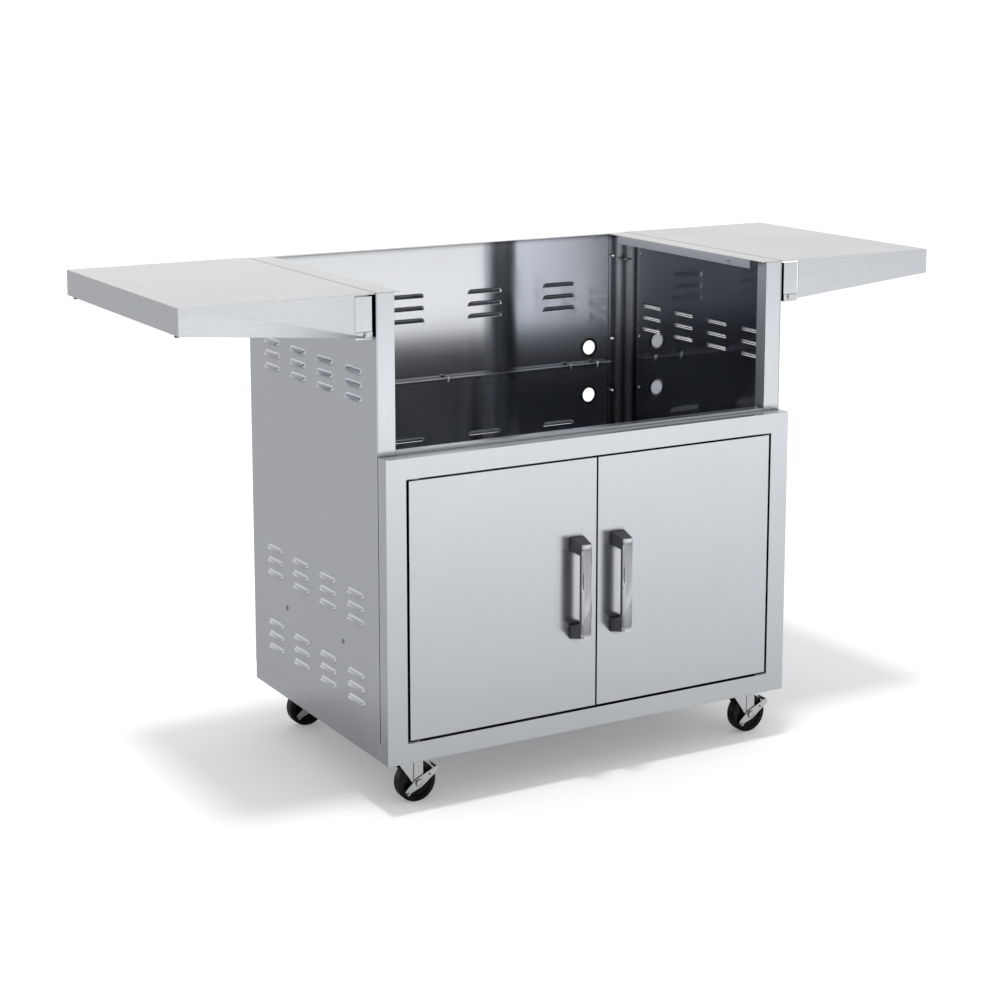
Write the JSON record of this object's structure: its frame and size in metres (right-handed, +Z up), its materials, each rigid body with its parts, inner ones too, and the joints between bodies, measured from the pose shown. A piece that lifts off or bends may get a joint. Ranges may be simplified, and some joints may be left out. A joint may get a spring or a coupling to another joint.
{
  "type": "stainless steel grill cart",
  "caption": "Two-door louvred stainless steel cabinet on braked swivel casters, with an open bay on top for a drop-in grill and a fold-down side shelf at each end.",
  "frame": {"origin": "centre of the overall box, on the floor under the wheels, with the shelves up and the doors shut", "axes": "+X to the right along both shelves as seen from the front, +Y from the doors to the back, +Z up"},
  "size_m": [1.5752, 0.6218, 0.9345],
  "materials": {
    "brushed_steel": "satin brushed",
    "polished_steel": "mirror-like",
    "bright_steel": "polished",
    "zinc_plate": "zinc plated",
    "dark_plastic": "satin",
    "black_rubber": "matte",
    "wheel_rubber": "matte"
  },
  "bodies": {
    "cart": {"base_tray": "brushed_steel", "face_frame": "brushed_steel", "front_cross_rail": "brushed_steel", "upper_back_panel": "polished_steel", "lower_back_panel": "polished_steel", "back_seam_strip": "polished_steel", "back_top_strip": "polished_steel", "upper_gas_grommet": "black_rubber", "lower_gas_grommet": "black_rubber", "left_side_panel": "brushed_steel", "left_front_post": "brushed_steel", "left_top_rail": "brushed_steel", "left_front_shelf_bracket": "brushed_steel", "left_rear_shelf_bracket": "brushed_steel", "left_rear_post": "polished_steel", "left_upper_door_pivot": "zinc_plate", "left_lower_door_pivot": "zinc_plate", "left_front_shelf_pin": "zinc_plate", "left_rear_shelf_pin": "zinc_plate", "right_side_panel": "brushed_steel", "right_front_post": "brushed_steel", "right_top_rail": "brushed_steel", "right_front_shelf_bracket": "brushed_steel", "right_rear_shelf_bracket": "brushed_steel", "right_rear_post": "polished_steel", "right_upper_door_pivot": "zinc_plate", "right_lower_door_pivot": "zinc_plate", "right_front_shelf_pin": "zinc_plate", "right_rear_shelf_pin": "zinc_plate", "front_left_caster_plate": "zinc_plate", "front_right_caster_plate": "zinc_plate", "rear_left_caster_plate": "zinc_plate", "rear_right_caster_plate": "zinc_plate"},
    "left_shelf": {"left_shelf": "brushed_steel", "left_front_shelf_bumper": "black_rubber", "left_rear_shelf_bumper": "black_rubber"},
    "left_door": {"left_door": "brushed_steel", "left_handle_body": "dark_plastic", "left_handle_bar": "bright_steel"},
    "right_shelf": {"right_shelf": "brushed_steel", "right_front_shelf_bumper": "black_rubber", "right_rear_shelf_bumper": "black_rubber"},
    "right_door": {"right_door": "brushed_steel", "right_handle_body": "dark_plastic", "right_handle_bar": "bright_steel"},
    "front_left_caster_fork": {"front_left_caster_fork": "zinc_plate"},
    "front_left_caster_wheel": {"front_left_caster_wheel": "wheel_rubber"},
    "front_left_caster_pedal": {"front_left_caster_pedal": "zinc_plate"},
    "front_right_caster_fork": {"front_right_caster_fork": "zinc_plate"},
    "front_right_caster_wheel": {"front_right_caster_wheel": "wheel_rubber"},
    "front_right_caster_pedal": {"front_right_caster_pedal": "zinc_plate"},
    "rear_left_caster_fork": {"rear_left_caster_fork": "zinc_plate"},
    "rear_left_caster_wheel": {"rear_left_caster_wheel": "wheel_rubber"},
    "rear_left_caster_pedal": {"rear_left_caster_pedal": "zinc_plate"},
    "rear_right_caster_fork": {"rear_right_caster_fork": "zinc_plate"},
    "rear_right_caster_wheel": {"rear_right_caster_wheel": "wheel_rubber"},
    "rear_right_caster_pedal": {"rear_right_caster_pedal": "zinc_plate"}
  },
  "joints": [
    {"name": "left_shelf_fold", "type": "hinge", "parent": "cart", "child": "left_shelf", "pos_m": [-0.4495, 0.0348, 0.863], "axis": [0, -1, 0], "range_deg": [0, 96]},
    {"name": "right_shelf_fold", "type": "hinge", "parent": "cart", "child": "right_shelf", "pos_m": [0.4495, 0.0348, 0.863], "axis": [0, 1, 0], "range_deg": [0, 96]},
    {"name": "left_door_swing", "type": "hinge", "parent": "cart", "child": "left_door", "pos_m": [-0.3774, -0.2626, 0.3729], "axis": [0, 0, -1], "range_deg": [0, 110]},
    {"name": "right_door_swing", "type": "hinge", "parent": "cart", "child": "right_door", "pos_m": [0.3774, -0.2626, 0.3729], "axis": [0, 0, 1], "range_deg": [0, 110]},
    {"name": "front_left_caster_swivel", "type": "hinge", "parent": "cart", "child": "front_left_caster_fork", "pos_m": [-0.368, -0.2046, 0.0375], "axis": [0, 0, 1], "continuous": true},
    {"name": "front_left_caster_roll", "type": "hinge", "parent": "front_left_caster_fork", "child": "front_left_caster_wheel", "pos_m": [-0.344, -0.2046, 0.0375], "axis": [0, 1, 0], "continuous": true},
    {"name": "front_left_caster_brake", "type": "hinge", "parent": "front_left_caster_fork", "child": "front_left_caster_pedal", "pos_m": [-0.344, -0.2046, 0.0375], "axis": [0, 1, 0], "range_deg": [0, 18]},
    {"name": "front_right_caster_swivel", "type": "hinge", "parent": "cart", "child": "front_right_caster_fork", "pos_m": [0.368, -0.2046, 0.0375], "axis": [0, 0, 1], "continuous": true},
    {"name": "front_right_caster_roll", "type": "hinge", "parent": "front_right_caster_fork", "child": "front_right_caster_wheel", "pos_m": [0.392, -0.2046, 0.0375], "axis": [0, 1, 0], "continuous": true},
    {"name": "front_right_caster_brake", "type": "hinge", "parent": "front_right_caster_fork", "child": "front_right_caster_pedal", "pos_m": [0.392, -0.2046, 0.0375], "axis": [0, 1, 0], "range_deg": [0, 18]},
    {"name": "rear_left_caster_swivel", "type": "hinge", "parent": "cart", "child": "rear_left_caster_fork", "pos_m": [-0.368, 0.2604, 0.0375], "axis": [0, 0, 1], "continuous": true},
    {"name": "rear_left_caster_roll", "type": "hinge", "parent": "rear_left_caster_fork", "child": "rear_left_caster_wheel", "pos_m": [-0.344, 0.2604, 0.0375], "axis": [0, 1, 0], "continuous": true},
    {"name": "rear_left_caster_brake", "type": "hinge", "parent": "rear_left_caster_fork", "child": "rear_left_caster_pedal", "pos_m": [-0.344, 0.2604, 0.0375], "axis": [0, 1, 0], "range_deg": [0, 18]},
    {"name": "rear_right_caster_swivel", "type": "hinge", "parent": "cart", "child": "rear_right_caster_fork", "pos_m": [0.368, 0.2604, 0.0375], "axis": [0, 0, 1], "continuous": true},
    {"name": "rear_right_caster_roll", "type": "hinge", "parent": "rear_right_caster_fork", "child": "rear_right_caster_wheel", "pos_m": [0.392, 0.2604, 0.0375], "axis": [0, 1, 0], "continuous": true},
    {"name": "rear_right_caster_brake", "type": "hinge", "parent": "rear_right_caster_fork", "child": "rear_right_caster_pedal", "pos_m": [0.392, 0.2604, 0.0375], "axis": [0, 1, 0], "range_deg": [0, 18]}
  ]
}
